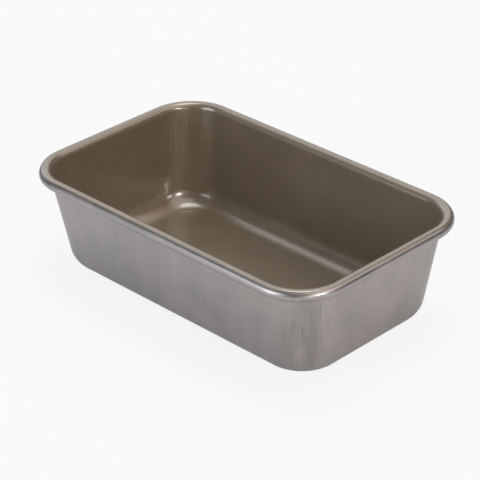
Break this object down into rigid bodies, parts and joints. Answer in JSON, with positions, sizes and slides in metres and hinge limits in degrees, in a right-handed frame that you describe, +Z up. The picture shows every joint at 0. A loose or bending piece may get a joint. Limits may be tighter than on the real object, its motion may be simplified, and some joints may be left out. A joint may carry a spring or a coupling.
{
  "type": "loaf pan",
  "caption": "Deep-drawn rectangular loaf pan with leaning walls, round corners, a rim rolled over a wire and a nonstick lining.",
  "frame": {"origin": "middle of the flat underside, on the surface the pan stands on", "axes": "+X along the pan's length, +Y along its width, +Z up out of its mouth"},
  "size_m": [0.25, 0.154, 0.07],
  "materials": {
    "bare_aluminium": "satin, as drawn, with faint upright draw marks",
    "nonstick_lining": "semi-gloss metallic brown-grey nonstick film with fine grain",
    "galvanised_wire": "zinc-coated drawn wire"
  },
  "bodies": {
    "root": {"pan_shell": "bare_aluminium", "nonstick_coating": "nonstick_lining", "rim_wire": "galvanised_wire"}
  },
  "joints": []
}
